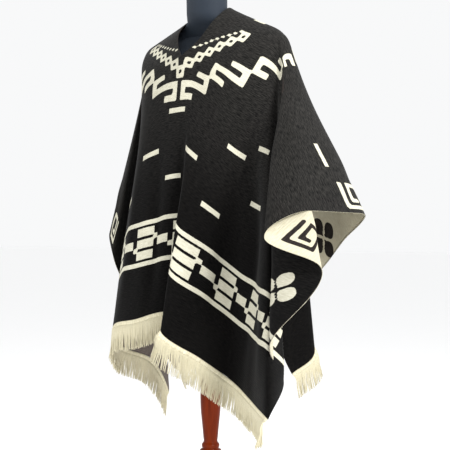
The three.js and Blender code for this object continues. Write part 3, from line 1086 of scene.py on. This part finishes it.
def wool_finish(shader, colour):
    """Wool in a colour, with soft clouds, ribs and fuzz."""
    weave = shader.weave()
    noise = shader.noise(
        weave, (1, 1, 1), Scale=CLOUD_SCALE, Detail=3.0, Roughness=WOOL_ROUGHNESS
    )
    clouds = shader.mixed(shader.stepped(noise, *CLOUD_RANGE), *CLOUD_TINTS)
    ribs = shader.node(
        "ShaderNodeTexWave", Vector=weave, Scale=62.0, Distortion=2.4, Detail=2.0, Detail_Scale=3.0
    )
    ribs.bands_direction = "Y"
    fuzz = shader.noise(weave, FUZZ_GRAIN, Scale=1.0, Detail=3.0, Roughness=WOOL_ROUGHNESS)
    height = shader.worked_out("ADD", ribs.outputs["Fac"], fuzz)
    shader.bump(height, strength=0.3, distance=0.0012)
    return shader.finished(
        shader.tinted(colour, clouds),
        Roughness=0.92,
        Specular_IOR_Level=0.06,
        Sheen_Weight=0.05,
        Sheen_Roughness=0.45,
    )


def outside_wool():
    """Charcoal with painted light, paler over the shoulders and sleeves and darker towards the
    hems, with cream motifs.
    """
    shader = Shader("wool_outside")
    dark = flecked(shader, CLOTH_GRAIN, (linear(7, 7, 7), linear(37, 35, 33)))
    pale = flecked(shader, CLOTH_GRAIN, (linear(211, 208, 190), linear(191, 187, 166)))
    # The tint of painted light and shade on the charcoal, palest over the shoulders and darkest at
    # the hems.
    painted_light_tint = shader.mixed(shader.attribute("painted_light"), *PAINTED_LIGHT_TINTS)
    depth = shader.worked_out(
        "MINIMUM", shader.attribute("motif"), shader.attribute("motif_ends")
    )
    return wool_finish(shader, woven(shader, shader.tinted(dark, painted_light_tint), pale, depth))


def inside_wool():
    """Cream along the selvedges with dark motifs; between them taupe near the hems and painted
    shade, dark, further up.
    """
    shader = Shader("wool_inside")
    # The dark yarn colours the dark motifs and also serves as painted shade on the inside's
    # middle.
    dark = flecked(shader, CLOTH_GRAIN, (linear(26, 23, 22), linear(50, 45, 42)))
    taupe = flecked(shader, CLOTH_GRAIN, (linear(88, 80, 76), linear(118, 109, 103)))
    pale = flecked(shader, CLOTH_GRAIN, (linear(202, 197, 175), linear(184, 177, 152)))
    # Painted shade: the middle turns from taupe near the hems to dark further up.
    middle = shader.mixed(shader.attribute("painted_light"), dark, taupe)
    band = shader.stepped(shader.attribute("band"), 0.0, 1.0)
    ground = shader.mixed(band, middle, dark)
    return wool_finish(shader, woven(shader, ground, pale, shader.attribute("motif")))


def yarn_wool():
    shader = Shader("yarn_cream")
    cream = flecked(shader, YARN_GRAIN, (linear(232, 226, 201), linear(182, 172, 138)))
    return wool_finish(shader, cream)


def jersey():
    """Dark navy jersey with a fine knit."""
    shader = Shader("form_jersey")
    place_on_form = shader.node("ShaderNodeTexCoord").outputs["Object"]
    mottle = shader.noise(place_on_form, Scale=22.0, Detail=4.0)
    knit = shader.noise(place_on_form, Scale=900.0, Detail=2.0)
    shader.bump(knit, strength=0.2, distance=0.0006)
    colour = shader.mixed(mottle, linear(17, 28, 40), linear(26, 38, 51))
    return shader.finished(colour, Roughness=0.78, Sheen_Weight=0.04)


def cherry():
    """Reddish varnished wood, its grain along the post."""
    shader = Shader("stand_cherry")
    grain = shader.noise(
        shader.node("ShaderNodeTexCoord").outputs["Object"],
        (26, 26, 1.6),
        Scale=2.6,
        Detail=6.0,
        Roughness=0.62,
        Distortion=0.6,
    )
    return shader.finished(
        shader.mixed(grain, linear(56, 10, 2), linear(124, 44, 8)),
        Roughness=0.32,
        Specular_IOR_Level=0.06,
        Coat_Weight=0.04,
        Coat_Roughness=0.12,
    )


cream_yarn = yarn_wool()
wood = cherry()

for obj, material, part, slot in (
    (outside, outside_wool(), "poncho_cloth", "poncho_wool"),
    (inside, inside_wool(), None, "poncho_wool"),
    (fringe_front, cream_yarn, "fringe_front", "fringe_wool"),
    (fringe_back, cream_yarn, "fringe_back", "fringe_wool"),
    (form, jersey(), "form_torso", "form_cover"),
    (post, wood, "stand_post", "stand_wood"),
    (foot, wood, "stand_base", "stand_wood"),
):
    obj.data.materials.append(material)
    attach(obj, "root")
    if part:
        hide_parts(part)

# Studio: a pale floor, a near white surround and soft lights, in metres.
FLOOR_SIZE = 60
FLOOR_DROP = 0.0005
# Each light's name, place, target, width and power.
LIGHTS = (
    ("key_light", (3.0, -0.9, 2.5), (0, 0, 1.1), 1.0, 120),
    ("fill_light", (-2.2, -1.8, 1.7), (0, 0, 0.9), 1.4, 14),
    ("top_light", (0.2, 0.4, 3.2), (0, 0, 1.2), 1.6, 20),
    ("post_light", (-0.5, -1.3, 0.4), (0, 0, 0.42), 0.3, 1.8),
)
CAMERA_AZIMUTH = math.radians(35)
CAMERA_DISTANCE = 3
CAMERA_HEIGHT = 0.876
CAMERA_LENS = 87.6
CAMERA_SENSOR = 36
CAMERA_SHIFT = 0.032


def studio_floor():
    bpy.ops.mesh.primitive_plane_add(size=FLOOR_SIZE, location=(0, 0, -FLOOR_DROP))
    floor = bpy.context.object
    floor.name = "studio_floor"
    shader = Shader("studio_pale")
    floor.data.materials.append(shader.finished((0.98, 0.98, 0.98, 1), Roughness=0.7))
    return floor


def studio_air():
    world = bpy.data.worlds.new("studio_air")
    bpy.context.scene.world = world
    world.use_nodes = True
    air = next(n for n in world.node_tree.nodes if n.type == "BACKGROUND")
    air.inputs["Color"].default_value = (0.94, 0.945, 0.95, 1)
    air.inputs["Strength"].default_value = 1.0


def studio_light(name, spot, target, size, power):
    light = bpy.data.lights.new(name, "AREA")
    light.shape = "SQUARE"
    light.size = size
    light.energy = power
    obj = bpy.data.objects.new(name, light)
    obj.location = spot
    obj.rotation_euler = (Vector(target) - Vector(spot)).to_track_quat("-Z", "Y").to_euler()
    bpy.context.scene.collection.objects.link(obj)
    return obj


def photo_camera():
    """A level camera on the wearer's left of the front, as in the photo."""
    data = bpy.data.cameras.new("photo_camera")
    data.lens = CAMERA_LENS
    data.sensor_width = CAMERA_SENSOR
    data.shift_x = CAMERA_SHIFT
    camera = bpy.data.objects.new("photo_camera", data)
    camera.location = (
        CAMERA_DISTANCE * math.sin(CAMERA_AZIMUTH),
        -CAMERA_DISTANCE * math.cos(CAMERA_AZIMUTH),
        CAMERA_HEIGHT,
    )
    camera.rotation_euler = (math.radians(90), 0, CAMERA_AZIMUTH)
    bpy.context.scene.collection.objects.link(camera)
    bpy.context.scene.camera = camera


studio_air()
bpy.context.scene.view_settings.view_transform = "Standard"
floor = studio_floor()
lights = [studio_light(*row) for row in LIGHTS]
photo_camera()
